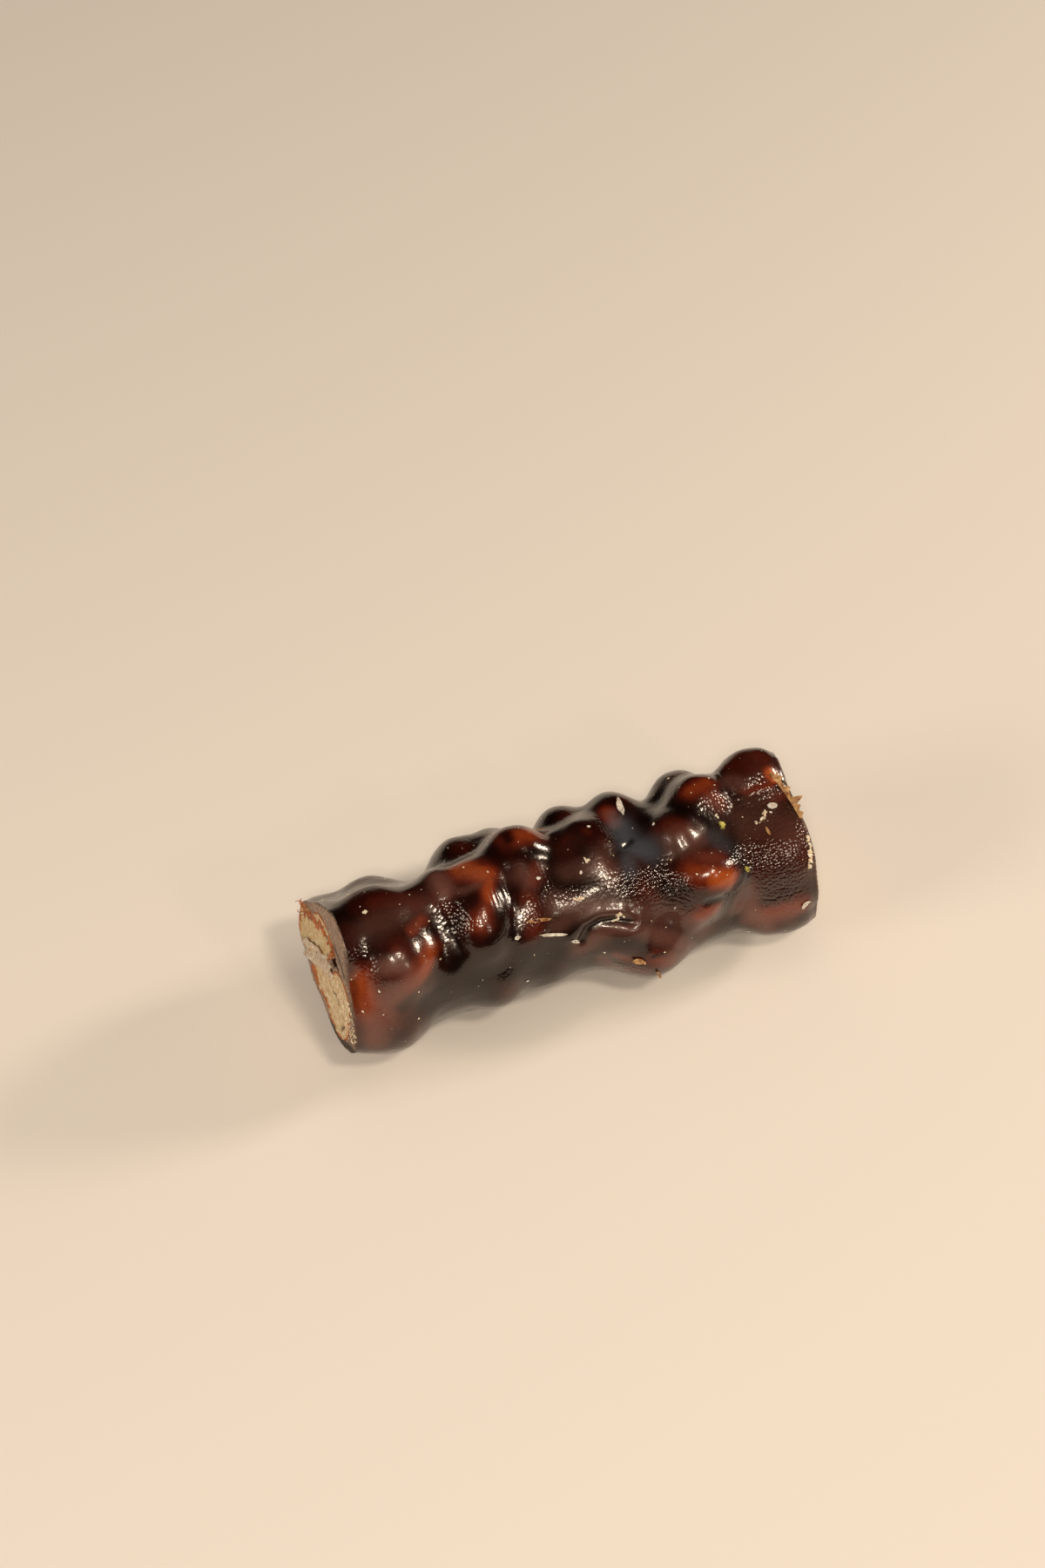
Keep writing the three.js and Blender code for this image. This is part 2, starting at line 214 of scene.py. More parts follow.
walnut_skin, skin_tree, skin_shader = material("walnut_skin", Roughness=0.55)
skin_tint = ramp(skin_tree, grain_in(skin_tree, 500, 4), (0.35, colour(120, 62, 26)), (0.7, colour(206, 138, 70)))
skin_tree.links.new(skin_tint, skin_shader.inputs["Base Color"])
whole_halves = [f"kernel_{letter}" for letter in "bcdef"]
for name in whole_halves:
    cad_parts[name].data.materials.clear()
    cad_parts[name].data.materials.append(walnut_skin)

# The coat: grape must thickened with flour, dipped on in several layers and dried to a glossy, half-clear
# skin that follows the nuts. It is cut across at both ends. Nuts close under it glow orange, the last layer
# left a milky bloom in smooth places, and the rest dried to fine pebbles. The smooth places also carry a
# painted sheen, a painted reflection of the room, and the coat has painted bluish reflections and painted
# shade in its creases and hollows.
coat_voxel = 0.44 * mm
plug_growth = 0.6 * mm
coat_lift = 0.3 * mm
coat_ripple_height, coat_ripple_size = 0.14 * mm, 3.2 * mm
cut_search, cut_facing, cut_flatness = 6 * mm, 0.985, 0.4 * mm
cut_edge = (0.1 * mm, 0.35 * mm)
glow_cover = (1.5 * mm, 3.4 * mm)
right_cut_darkening = 0.58


def merged_copy(node, name, growth=0.0):
    """The CAD node's solid as one joined mesh, grown outwards."""
    piece = bpy.data.objects.new(name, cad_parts[node].data.copy())
    bpy.context.collection.objects.link(piece)
    piece.data.materials.clear()
    edit_all(piece)
    bpy.ops.mesh.remove_doubles(threshold=2e-6)
    bpy.ops.mesh.normals_make_consistent(inside=False)
    if growth:
        bpy.ops.transform.shrink_fatten(value=growth)
    bpy.ops.object.mode_set(mode="OBJECT")
    return piece


def remesh(piece, voxel):
    """Give a piece one closed skin of even small faces."""
    select_only(piece)
    piece.data.remesh_voxel_size = voxel
    bpy.ops.object.voxel_remesh()


def apply_modifier(piece, kind, **settings):
    select_only(piece)
    modifier = piece.modifiers.new(kind.lower(), kind)
    for key, value in settings.items():
        setattr(modifier, key, value)
    bpy.ops.object.modifier_apply(modifier=modifier.name)


def round_off(piece, levels):
    """Subdivide smoothly, with the edges of the cuts kept sharp."""
    edit_all(piece)
    bpy.ops.mesh.select_mode(type="EDGE")
    bpy.ops.mesh.select_all(action="DESELECT")
    bpy.ops.mesh.edges_select_sharp(sharpness=math.radians(50))
    bpy.ops.transform.edge_crease(value=1.0)
    bpy.ops.mesh.select_mode(type="VERT")
    bpy.ops.object.mode_set(mode="OBJECT")
    apply_modifier(piece, "SUBSURF", levels=levels, render_levels=levels)


def points_of(mesh):
    place = np.empty(len(mesh.vertices) * 3, np.float32)
    mesh.vertices.foreach_get("co", place)
    return place.reshape(-1, 3)


def normals_of(mesh):
    out = np.empty(len(mesh.vertices) * 3, np.float32)
    mesh.vertex_normals.foreach_get("vector", out)
    return out.reshape(-1, 3)


def move_points(piece, place):
    piece.data.vertices.foreach_set("co", np.asarray(place, np.float32).ravel())
    piece.data.update()


def cut_plane(side):
    """Middle and outward normal of the strand's cut at the left (-1) or right (1)."""
    faces = [
        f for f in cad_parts["must_coat"].data.polygons
        if f.normal.x * side > cut_facing and f.center.x * side > cad_box[1].x - cut_search
    ]
    for _ in range(2):
        area = sum(f.area for f in faces)
        middle = sum((f.center * f.area for f in faces), Vector()) / area
        outwards = sum((f.normal * f.area for f in faces), Vector()).normalized()
        faces = [f for f in faces if abs((f.center - middle).dot(outwards)) < cut_flatness]
    return middle, outwards


cuts = {side: cut_plane(side) for side in (-1, 1)}


def behind_cut(points, side):
    """How far each point lies inside the cut."""
    middle, outwards = cuts[side]
    return -(points - np.array(middle)) @ np.array(outwards)


def slice_off(piece, side, proud=0.0):
    """Cut the piece flat at a little outside the strand's cut."""
    middle, outwards = cuts[side]
    edit_all(piece)
    bpy.ops.mesh.bisect(
        plane_co=middle + proud * outwards, plane_no=outwards, use_fill=True, clear_outer=True, threshold=1e-7
    )
    bpy.ops.object.mode_set(mode="OBJECT")


def ease(value, low, high):
    share = np.clip((value - low) / (high - low), 0, 1)
    return share * share * (3 - 2 * share)


def mask_in(tree, name):
    """Value in a material of a mask that give_mask wrote on the piece."""
    return add_node(tree, "ShaderNodeAttribute", attribute_name=name).outputs["Fac"]


def bumped(tree, height, strength, distance):
    """Normal that a height gives."""
    node = add_node(tree, "ShaderNodeBump", Strength=strength, Distance=distance)
    tree.links.new(height, node.inputs["Height"])
    return node.outputs["Normal"]


def give_mask(mesh, name, values):
    layer = mesh.attributes.get(name) or mesh.attributes.new(name, "FLOAT", "POINT")
    layer.data.foreach_set("value", np.asarray(values, np.float32))


def grain_at(place, size, seed):
    """Smooth noise from -1 to 1 at each point, with lumps of this size."""
    shift = Vector((seed * 7.31, seed * 3.17, seed * 5.73))
    return np.array([noise.noise(Vector(co) / size + shift) for co in place.astype(float)], np.float32)


coat = merged_copy("must_coat", "must_skin")
round_off(coat, 2)
through_cuts = ["thread", "septum_left", "septum_right"]
plugs = [merged_copy(name, name + "_plug", plug_growth) for name in (*whole_halves, *through_cuts)]
for plug in plugs[len(whole_halves):]:
    slice_off(plug, -1)
    slice_off(plug, 1)
select_only(coat)
for plug in plugs:
    plug.select_set(True)
bpy.ops.object.join()
remesh(coat, coat_voxel)

place = points_of(coat.data)
inset = np.minimum(behind_cut(place, -1), behind_cut(place, 1))
skin_group = coat.vertex_groups.new(name="skin")
weights = ease(inset, 0.4 * mm, 2.0 * mm)
for level in range(1, 11):
    chosen = np.nonzero((weights > (level - 1) / 10) & (weights <= level / 10))[0]
    skin_group.add(chosen.tolist(), level / 10, "REPLACE")
apply_modifier(coat, "SMOOTH", factor=0.5, iterations=12, vertex_group="skin")
coat.vertex_groups.clear()


def surface_of(piece):
    """Search tree of a piece's faces as they are now."""
    corners = [v.co.copy() for v in piece.data.vertices]
    return BVHTree.FromPolygons(corners, [tuple(f.vertices) for f in piece.data.polygons])


def landing(surface, at):
    """Where the sight line through a pixel of the photograph meets a surface, and which way that faces."""
    spot, out, _, _ = surface.ray_cast(eye, sight_line(at))
    return spot, out


def part_way(first, last, share):
    """Pixel at a share of the way from one to another."""
    return [a + (b - a) * share for a, b in zip(first, last)]


def trace(surface, path):
    """Points of a surface along a path of pixels."""
    spots = []
    for first, last in zip(path, path[1:] or path):
        steps = max(1, round(math.dist(first, last) / 5))
        for step in range(steps + 1):
            spot, _ = landing(surface, part_way(first, last, step / steps))
            if spot is not None:
                spots.append(spot)
    return np.array(spots, np.float32)


def far_from(place, spots):
    """Distance of each point to the nearest of some spots that follow one another."""
    nearest = np.full(len(place), 1.0, np.float32)
    for first, last in zip(spots, spots[1:] if len(spots) > 1 else spots):
        along = last - first
        share = np.clip((place - first) @ along / max(float(along @ along), 1e-12), 0, 1)
        nearest = np.minimum(nearest, np.linalg.norm(place - first - share[:, None] * along, axis=1))
    return nearest


def painted(place, surface, marks, wobble):
    """Share from 0 up that soft marks, each a path of pixels with a radius and a strength, give each point."""
    total = np.zeros(len(place), np.float32)
    for path, radius, strength in marks.values():
        spots = trace(surface, path)
        if len(spots):
            reach = far_from(place, spots) * (1 + 0.22 * wobble) / (radius * mm)
            total = np.maximum(total, strength * np.exp(-((0.95 * reach) ** 2.4)))
    return total


# Low relief of the coat that the nuts don't give: webs and creases where the must sagged and dried. Each is
# a path of pixels, its half width and its height in millimetres.
coat_relief = {
    "crease_over_front_lobe": (((668, 1080), (675, 1065), (690, 1057), (708, 1055), (726, 1059)), 0.9, -0.75),
    "web_over_front_lobe": (((655, 1075), (668, 1060), (690, 1048), (715, 1046)), 1.2, 0.35),
    "crease_under_bright_nut": (((812, 1036), (826, 1031), (841, 1026), (850, 1018)), 1.0, -0.35),
    "neck_valley": (((846, 1050), (856, 1032), (862, 1005), (858, 980)), 1.5, -0.5),
    "neck_edge": (((848, 1045), (857, 1028), (860, 1008)), 0.5, 0.25),
    "fold_by_last_lobe": (((824, 892), (834, 902), (842, 912)), 0.6, 0.35),
    "fold_valley": (((840, 896), (850, 906), (862, 912)), 1.2, -0.5),
    "thin_ridge_upper": (((846, 917), (866, 909), (888, 903), (904, 900)), 0.45, 0.3),
    "thin_ridge_lower": (((852, 922), (872, 915), (890, 909)), 0.4, 0.2),
    "facet": (((712, 952), (724, 972), (738, 978)), 2.6, -0.55),
    "facet_crack": (((716, 972), (722, 968), (726, 965)), 0.5, -0.45),
    "crease_first_second": (((500, 1045), (518, 1066), (530, 1088)), 1.6, -0.4),
    "crease_second_fourth": (((583, 1000), (588, 1030), (590, 1062)), 1.5, -0.45),
    "crease_third_fourth": (((575, 975), (600, 979), (630, 985)), 1.4, -0.4),
    "dip_beside_pebbles": (((760, 965), (775, 985), (790, 990)), 1.8, -0.3),
}
coat_surface = surface_of(coat)
place = points_of(coat.data)
out = normals_of(coat.data)
inset = np.minimum(behind_cut(place, -1), behind_cut(place, 1))
push = coat_lift + coat_ripple_height * grain_at(place, coat_ripple_size, 1)
for path, radius, height in coat_relief.values():
    reach = far_from(place, trace(coat_surface, path))
    push += height * mm * np.exp(-((reach / (radius * mm)) ** 2))
push *= ease(inset, 0.2 * mm, 2.5 * mm) * ease(place[:, 2], 0.2 * mm, 3.0 * mm)
move_points(coat, place + out * push[:, None])

# How much must covers the nearest nut at each spot of the coat
nut_surfaces = [surface_of(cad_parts[name]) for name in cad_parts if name.startswith("kernel")]
place = points_of(coat.data)
cover = np.full(len(place), 6 * mm)
for surface in nut_surfaces:
    for i, co in enumerate(place):
        found = surface.find_nearest(Vector(co), float(cover[i]))
        if found[3] is not None:
            cover[i] = min(cover[i], found[3])
inset = np.minimum(behind_cut(place, -1), behind_cut(place, 1))
out = normals_of(coat.data)
coat_surface = surface_of(coat)
# What the photograph shows takes its marks from there, and what it doesn't show a plain uneven pattern
seen = ease(out @ np.array(towards_camera, np.float32), -0.1, 0.3)
wobble = grain_at(place, 2.6 * mm, 2)
patchy = grain_at(place, 6.5 * mm, 3)

# Nuts that glow through: paths of pixels, radius in millimetres, strength
glows = {
    "by_the_left_cut": (((413, 1130), (420, 1158)), 4.4, 0.8),
    "beside_that": (((430, 1126), (438, 1146)), 3.6, 0.3),
    "first_right_flank": (((494, 1092), (488, 1114), (476, 1132)), 3.0, 0.78),
    "first_left_of_streak": (((484, 1057), (472, 1070)), 1.5, 0.6),
    "first_dapple_low": (((478, 1105), (474, 1112)), 1.4, 0.55),
    "first_dapple_middle": (((455, 1090), (462, 1094)), 1.6, 0.4),
    "first_crown": (((430, 1035), (455, 1030), (478, 1036)), 3.0, 0.3),
    "first_middle": (((452, 1084), (470, 1090)), 2.2, 0.26),
    "first_beside_cut": (((400, 1070), (408, 1110)), 2.0, 0.2),
    "second_crown": (((528, 995), (556, 1003)), 3.2, 0.85),
    "second_right_edge": (((561, 1010), (560, 1030)), 1.9, 0.8),
    "second_low": (((556, 1040), (549, 1066)), 2.7, 0.62),
    "third_right": (((588, 960), (612, 954)), 3.2, 0.72),
    "third_left": (((564, 958), (574, 956)), 2.1, 0.4),
    "fourth_top": (((616, 996), (612, 1012)), 2.0, 0.45),
    "fourth_low": (((608, 1034), (612, 1066)), 2.6, 0.42),
    "past_the_third": (((648, 970), (652, 980)), 2.2, 0.2),
    "fifth_top": (((696, 932), (700, 940)), 2.2, 0.6),
    "fifth_brown": (((672, 952), (676, 955)), 1.4, 0.3),
    "fifth_middle": (((690, 992), (702, 1003)), 2.3, 0.3),
    "seventh": (((768, 944), (786, 950)), 2.9, 0.36),
    "pebbled_lump": (((742, 1024), (752, 1032)), 1.9, 0.3),
    "front_lobe_nut": (((708, 1084), (738, 1091)), 2.0, 0.2),
    "front_lobe_under": (((708, 1097), (720, 1101)), 1.5, 0.5),
    "front_lobe_pink": (((752, 1101), (768, 1106)), 2.3, 0.55),
    "bright_nut": (((794, 1000), (812, 1004)), 3.2, 0.66),
    "bright_nut_end": (((822, 1008), (838, 1008)), 2.8, 0.96),
    "bright_nut_top": (((808, 984), (826, 984)), 2.3, 0.52),
    "bright_nut_low": (((806, 1053), (820, 1045)), 2.6, 0.7),
    "sixth_left": (((792, 908), (812, 898)), 2.5, 0.66),
    "sixth_right": (((812, 908), (826, 920)), 2.4, 0.55),
    "last_low": (((880, 1050), (918, 1041)), 3.0, 0.66),
    "last_maroon": (((905, 985), (916, 1000)), 3.2, 0.16),
    "top_corner": (((866, 866), (878, 870)), 3.0, 0.34),
    "top_corner_amber": (((885, 888), (889, 892)), 1.6, 1.1),
    "fold_red": (((858, 908), (884, 901)), 1.3, 0.55),
    "rim_red": (((890, 915), (905, 912)), 2.0, 0.36),
}
# Darker gaps between those glows
shades = {
    "third_gap": (((580, 957), (584, 964)), 1.1, 0.8),
    "second_dark_middle": (((528, 1034), (542, 1034)), 1.6, 0.7),
    "bright_nut_crease": (((812, 1036), (828, 1030), (846, 1026)), 0.8, 1.0),
    "bright_nut_dent": (((788, 1022), (794, 1026)), 1.0, 0.6),
    "front_lobe_crack": (((750, 1099), (758, 1096), (768, 1096)), 0.4, 0.9),
}
# Milky mauve-grey bloom and painted sheen: partly bloom of the last layer, partly a painted reflection of the room
# on the glossy coat
bloom_and_sheen_marks = {
    "first_skirt": (((472, 1130), (448, 1156), (426, 1190)), 3.2, 1.1),
    "first_patch": (((444, 1112), (464, 1113)), 1.8, 0.75),
    "first_patch_low": (((462, 1134), (474, 1130)), 1.6, 0.6),
    "first_band": (((424, 1066), (452, 1054), (484, 1040)), 2.7, 0.36),
    "second_left": (((502, 1008), (510, 1022)), 2.0, 0.85),
    "second_band": (((516, 1024), (534, 1022), (550, 1015)), 0.9, 0.55),
    "second_crown_veil": (((536, 1004), (552, 1008)), 2.0, 0.3),
    "between_second_fourth": (((598, 1004), (606, 1010)), 2.0, 0.5),
    "past_the_fourth": (((652, 1002), (676, 996)), 2.0, 0.4),
    "fifth_veil": (((690, 985), (700, 1000)), 2.6, 0.35),
    "fifth_top_veil": (((702, 935), (706, 942)), 1.5, 0.45),
    "seventh_veil": (((776, 965), (800, 962)), 2.8, 0.6),
    "front_lobe_veil": (((668, 1088), (690, 1070), (730, 1068), (775, 1078), (792, 1090)), 2.2, 0.7),
    "front_lobe_end": (((768, 1100), (786, 1098)), 2.0, 0.7),
    "front_lobe_foot": (((690, 1100), (705, 1112), (740, 1116)), 1.4, 0.6),
    "saddle": (((640, 1040), (690, 1042), (730, 1048), (775, 1052), (810, 1068)), 2.4, 0.6),
    "lower_middle": (((640, 1062), (656, 1052), (680, 1045)), 1.8, 0.5),
    "bright_nut_veil": (((802, 982), (818, 984)), 1.6, 0.3),
    "neck": (((850, 1040), (858, 1022), (864, 1054), (880, 1060)), 2.0, 1.0),
    "last_low_veil": (((870, 1058), (905, 1054)), 1.8, 0.5),
    "last_upper": (((862, 946), (884, 942), (906, 948)), 5.0, 0.46),
    "over_last": (((862, 922), (888, 916)), 2.4, 0.35),
    "sixth_veil": (((816, 920), (828, 928)), 1.7, 0.4),
    "fold": (((836, 898), (852, 904)), 1.8, 0.45),
    "top_corner_veil": (((858, 858), (870, 852)), 1.8, 0.4),
}
# Painted bluish reflection of a window: the dip in the middle, the hollow above the bright nut and the neck
blue_reflection_marks = {
    "dip": (((712, 950), (724, 972), (742, 976)), 2.5, 1.0),
    "dip_low": (((722, 985), (722, 1000)), 1.6, 0.7),
    "hollow": (((820, 962), (832, 970)), 2.2, 0.5),
    "neck_blue": (((857, 1000), (856, 1030)), 1.1, 0.45),
}
# Near-black marks: painted shade in the creases and the hollows between the lumps, painted shadow of neighbouring
# pieces under the first lump's flank, the dark nut under the front lobe, and the darker foot and rim of the left
# cut
shade_and_dark_marks = {
    "front_lobe_nut": (((710, 1082), (726, 1084), (738, 1090)), 1.7, 0.85),
    "crease_over_front_lobe": (((668, 1080), (675, 1065), (690, 1057), (708, 1055), (722, 1057)), 0.7, 0.95),
    "below_first_flank": (((508, 1098), (500, 1118), (486, 1134), (462, 1156)), 1.4, 0.7),
    "below_second": (((538, 1078), (560, 1082), (590, 1074)), 1.6, 0.7),
    "second_fourth_low": (((578, 1050), (584, 1066)), 1.5, 0.7),
    "third_fourth": (((566, 976), (600, 980), (626, 976)), 1.4, 0.6),
    "over_fifth": (((640, 955), (655, 945), (668, 935)), 2.2, 0.6),
    "facet_crack": (((716, 972), (722, 968), (726, 965)), 0.45, 0.9),
    "bright_nut_left": (((782, 1012), (786, 1024)), 1.1, 0.6),
    "bright_nut_crease": (((806, 1032), (826, 1031), (846, 1025)), 0.6, 0.6),
    "over_seventh": (((742, 940), (765, 928), (785, 930)), 2.4, 0.85),
    "neck_dark": (((838, 945), (842, 965), (846, 985)), 1.0, 0.3),
    "under_sixth": (((800, 932), (820, 938)), 1.4, 0.45),
    "last_low_edge": (((880, 1036), (905, 1030)), 0.8, 0.5),
    "cut_foot": (((372, 1160), (390, 1194), (409, 1211)), 1.2, 0.95),
    "cut_rim_low": (((396, 1096), (404, 1130), (411, 1180), (414, 1206)), 1.1, 0.45),
    "cut_rim_dark": (((384, 1088), (390, 1104), (395, 1122)), 0.5, 0.9),
}
# Where the skin dried to pebbles, and where to fine wrinkles
pebble_marks = {
    "last": (((884, 930), (868, 968), (885, 985), (900, 1000), (888, 1020)), 5.6, 0.8),
    "lump": (((732, 1010), (752, 1012), (772, 1020)), 3.8, 0.75),
    "first_valley": (((518, 1046), (528, 1062)), 2.6, 0.5),
    "second_crown": (((520, 1000), (540, 1004)), 2.6, 0.2),
    "by_the_cut": (((404, 1098), (418, 1090)), 1.4, 0.35),
    "first_middle": (((420, 1108), (444, 1138)), 2.2, 0.25),
    "fourth": (((610, 1008), (618, 1030), (612, 1062)), 2.4, 0.2),
    "middle": (((636, 1024), (656, 1026)), 2.6, 0.4),
    "fifth": (((694, 946), (700, 960)), 1.8, 0.3),
    "left_of_bright": (((775, 1030), (788, 1040)), 2.4, 0.6),
    "sixth": (((816, 920), (830, 924)), 2.0, 0.5),
    "front_lobe": (((705, 1108), (735, 1112)), 1.4, 0.5),
    "rim": (((918, 950), (925, 960)), 2.0, 0.9),
}
wrinkle_marks = {"second_fourth": (((570, 1026), (586, 1028)), 2.0, 1.0)}
near_nut = 1 - ease(cover, *glow_cover)
glow = near_nut * (np.clip(0.45 + 0.75 * patchy, 0, 1) * (0.8 - 0.62 * seen) + 0.16 * seen)
glow = np.maximum(glow, painted(place, coat_surface, glows, wobble))
glow *= 1 - np.clip(painted(place, coat_surface, shades, wobble), 0, 1)
# Bloom and painted sheen: a plain uneven pattern where the coat faces away, then the marks
bloom_and_sheen = np.clip(grain_at(place, 8 * mm, 4) - 0.1, 0, 1) * (1 - 0.85 * seen)
bloom_and_sheen = np.maximum(bloom_and_sheen, painted(place, coat_surface, bloom_and_sheen_marks, wobble))
pebbles = np.clip(0.35 + 0.9 * grain_at(place, 9 * mm, 5), 0.1, 0.8) * (1 - 0.9 * seen)
pebbles = np.maximum(pebbles, painted(place, coat_surface, pebble_marks, wobble))
pebbles *= 1 - 0.7 * np.clip(bloom_and_sheen, 0, 1)
give_mask(coat.data, "glow", glow)
give_mask(coat.data, "bloom_and_sheen", bloom_and_sheen)
give_mask(coat.data, "blue_reflection", painted(place, coat_surface, blue_reflection_marks, wobble))
# The right cut's must is darkened too
right_cut = 1 - ease(behind_cut(place, 1), *cut_edge)
shade_and_dark_must = np.maximum(painted(place, coat_surface, shade_and_dark_marks, wobble), right_cut_darkening * right_cut)
give_mask(coat.data, "shade_and_dark_must", shade_and_dark_must)
give_mask(coat.data, "pebbles", pebbles)
give_mask(coat.data, "wrinkles", painted(place, coat_surface, wrinkle_marks, wobble))
give_mask(coat.data, "cut", 1 - ease(inset, *cut_edge))

must, must_tree, must_shader = material(
    "dried_must", Subsurface_Weight=0.12, Subsurface_Scale=1.2 * mm, Subsurface_Radius=(1.0, 0.4, 0.16),
    Specular_IOR_Level=0.46, Specular_Tint=(1.0, 0.86, 0.77, 1.0), Coat_Roughness=0.08,
)
mask_names = ("glow", "bloom_and_sheen", "blue_reflection", "shade_and_dark_must", "pebbles", "wrinkles", "cut")
must_masks = {name: mask_in(must_tree, name) for name in mask_names}
must_cloud = grain_in(must_tree, 900, 5)
mottle = maths(must_tree, "MULTIPLY", maths(must_tree, "SUBTRACT", must_cloud, 0.5), 0.35)
uneven_glow = maths(must_tree, "MULTIPLY", must_masks["glow"], maths(must_tree, "ADD", mottle, 1.0))
must_tint = ramp(
    must_tree, maths(must_tree, "MULTIPLY", uneven_glow, 0.667),
    (0.0, colour(16, 5, 3)),
    (0.14, colour(42, 10, 5)),
    (0.34, colour(86, 27, 12)),
    (0.52, colour(132, 54, 22)),
    (0.7, colour(168, 80, 32)),
    (1.0, colour(230, 164, 86)),
)
# Bloom and painted sheen: the coat turns milky mauve-grey where the mask says
with_bloom_and_sheen = between(
    must_tree, maths(must_tree, "MULTIPLY", must_masks["bloom_and_sheen"], maths(must_tree, "ADD", mottle, 0.75)),
    must_tint, colour(110, 68, 57),
)
# Painted reflection: the coat turns bluish grey where the window's reflection is painted
with_blue_reflection = between(
    must_tree, maths(must_tree, "MULTIPLY", must_masks["blue_reflection"], 0.6), with_bloom_and_sheen, colour(80, 84, 90),
)
cut_tint = ramp(
    must_tree, grain_in(must_tree, 1600, 4, 0.7),
    (0.3, colour(76, 58, 48)), (0.5, colour(142, 116, 98)), (0.72, colour(186, 160, 138)),
)
with_cut = between(must_tree, must_masks["cut"], with_blue_reflection, cut_tint)
# Near-black where the mask is: painted shade in creases and hollows, and the darker must of the other marks
must_colour = between(must_tree, must_masks["shade_and_dark_must"], with_cut, colour(9, 3, 2))
must_tree.links.new(must_colour, must_shader.inputs["Base Color"])
smoother_pebbles = maths(must_tree, "SUBTRACT", 0.23, maths(must_tree, "MULTIPLY", must_masks["pebbles"], 0.09))
must_rough = maths(
    must_tree, "ADD", smoother_pebbles,
    maths(must_tree, "ADD", maths(must_tree, "MULTIPLY", must_masks["bloom_and_sheen"], 0.16),
          maths(must_tree, "MULTIPLY", must_masks["cut"], 0.45)),
)
must_tree.links.new(must_rough, must_shader.inputs["Roughness"])
must_coat = maths(must_tree, "SUBTRACT", 0.4, maths(must_tree, "MULTIPLY", must_masks["cut"], 0.4))
must_tree.links.new(must_coat, must_shader.inputs["Coat Weight"])
pebble_cells = add_node(must_tree, "ShaderNodeTexVoronoi", Scale=1400, Randomness=0.8)
must_tree.links.new(own_place(must_tree), pebble_cells.inputs["Vector"])
pleats = add_node(must_tree, "ShaderNodeTexWave", Scale=330, Distortion=2.5, Detail=2)
must_tree.links.new(own_place(must_tree), pleats.inputs["Vector"])
pebble_slope = maths(must_tree, "MULTIPLY", pebble_cells.outputs["Distance"], pebble_cells.outputs["Distance"])
pebble_height = maths(
    must_tree, "MULTIPLY", maths(must_tree, "SUBTRACT", 1.0, maths(must_tree, "MULTIPLY", pebble_slope, 2.0)),
    maths(must_tree, "ADD", must_masks["pebbles"], 0.03),
)
fine_grain = add_node(must_tree, "ShaderNodeTexNoise", Scale=2600, Detail=3)
must_tree.links.new(own_place(must_tree), fine_grain.inputs["Vector"])
fine_height = maths(must_tree, "MULTIPLY", fine_grain.outputs["Fac"], 0.09)
pleat_height = maths(
    must_tree, "MULTIPLY", maths(must_tree, "MULTIPLY", pleats.outputs["Fac"], must_masks["wrinkles"]), 0.3,
)
low_relief = maths(must_tree, "ADD", pebble_height, maths(must_tree, "ADD", fine_height, pleat_height))
must_normal = bumped(must_tree, low_relief, 0.8, 0.22 * mm)
must_tree.links.new(must_normal, must_shader.inputs["Normal"])
must_tree.links.new(must_normal, must_shader.inputs["Coat Normal"])
coat.data.materials.append(must)
select_only(coat)
bpy.ops.object.shade_smooth()
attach(coat, "root")
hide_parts("must_coat")

# The walnut halves that the knife went through, two at the left cut and three at the right. Their flesh is
# cream and grainy, crumbled and scored by the blade, and their brown skin shows as a thin line round it.
flesh_voxel = 0.3 * mm
flesh_proud = 0.12 * mm

flesh, flesh_tree, flesh_shader = material(
    "walnut_flesh", Roughness=0.62, Subsurface_Weight=0.15, Subsurface_Scale=0.8 * mm, Specular_IOR_Level=0.35
)
flesh_tint = ramp(
    flesh_tree, grain_in(flesh_tree, 950, 6, 0.65),
    (0.32, colour(170, 134, 94)), (0.5, colour(208, 180, 140)), (0.7, colour(238, 224, 198)),
)
olive_share = maths(flesh_tree, "MULTIPLY", mask_in(flesh_tree, "olive"), 0.75)
olive_flesh = between(flesh_tree, olive_share, flesh_tint, colour(182, 158, 102))
skin_blotch = grain_in(flesh_tree, 700, 3)
rind_brown = ramp(flesh_tree, skin_blotch, (0.35, colour(104, 48, 20)), (0.65, colour(188, 104, 46)))
rind_edge = maths(
    flesh_tree, "SUBTRACT", mask_in(flesh_tree, "rind"),
    maths(flesh_tree, "MULTIPLY", maths(flesh_tree, "SUBTRACT", skin_blotch, 0.42), 2.6),
)
rind_share = ramp(flesh_tree, rind_edge, (0.05, (1, 1, 1, 1)), (0.22, (0, 0, 0, 1)))
with_skin = between(flesh_tree, rind_share, olive_flesh, rind_brown)
with_fissures = between(flesh_tree, mask_in(flesh_tree, "fissure"), with_skin, colour(70, 38, 20))
flesh_tree.links.new(with_fissures, flesh_shader.inputs["Base Color"])
flesh_normal = bumped(flesh_tree, grain_in(flesh_tree, 2200, 4, 0.7), 0.7, 0.12 * mm)
flesh_tree.links.new(flesh_normal, flesh_shader.inputs["Normal"])

# Fissures in the flesh at the left cut, as paths of pixels with a half width and a depth in millimetres
flesh_fissures = {
    "lower_end": (((391, 1168), (394, 1178), (397, 1190)), 0.35, 0.8),
    "lower_branch": (((394, 1178), (390, 1184)), 0.3, 0.6),
    "lower_middle": (((378, 1128), (384, 1142), (389, 1155)), 0.3, 0.35),
    "upper_edge": (((372, 1072), (376, 1084), (380, 1094)), 0.45, 0.6),
}
# Where the brown skin shows wide at the left cut, as paths of pixels with a half width in millimetres
wide_skin = {
    "upper_right": (((366, 1060), (372, 1072), (378, 1084), (385, 1102)), 0.8),
    "lower_left": (((359, 1108), (362, 1122), (366, 1138)), 0.9),
    "lower_left_patch": (((371, 1143), (376, 1154)), 0.6),
    "top": (((350, 1050), (358, 1054), (364, 1062)), 0.8),
}


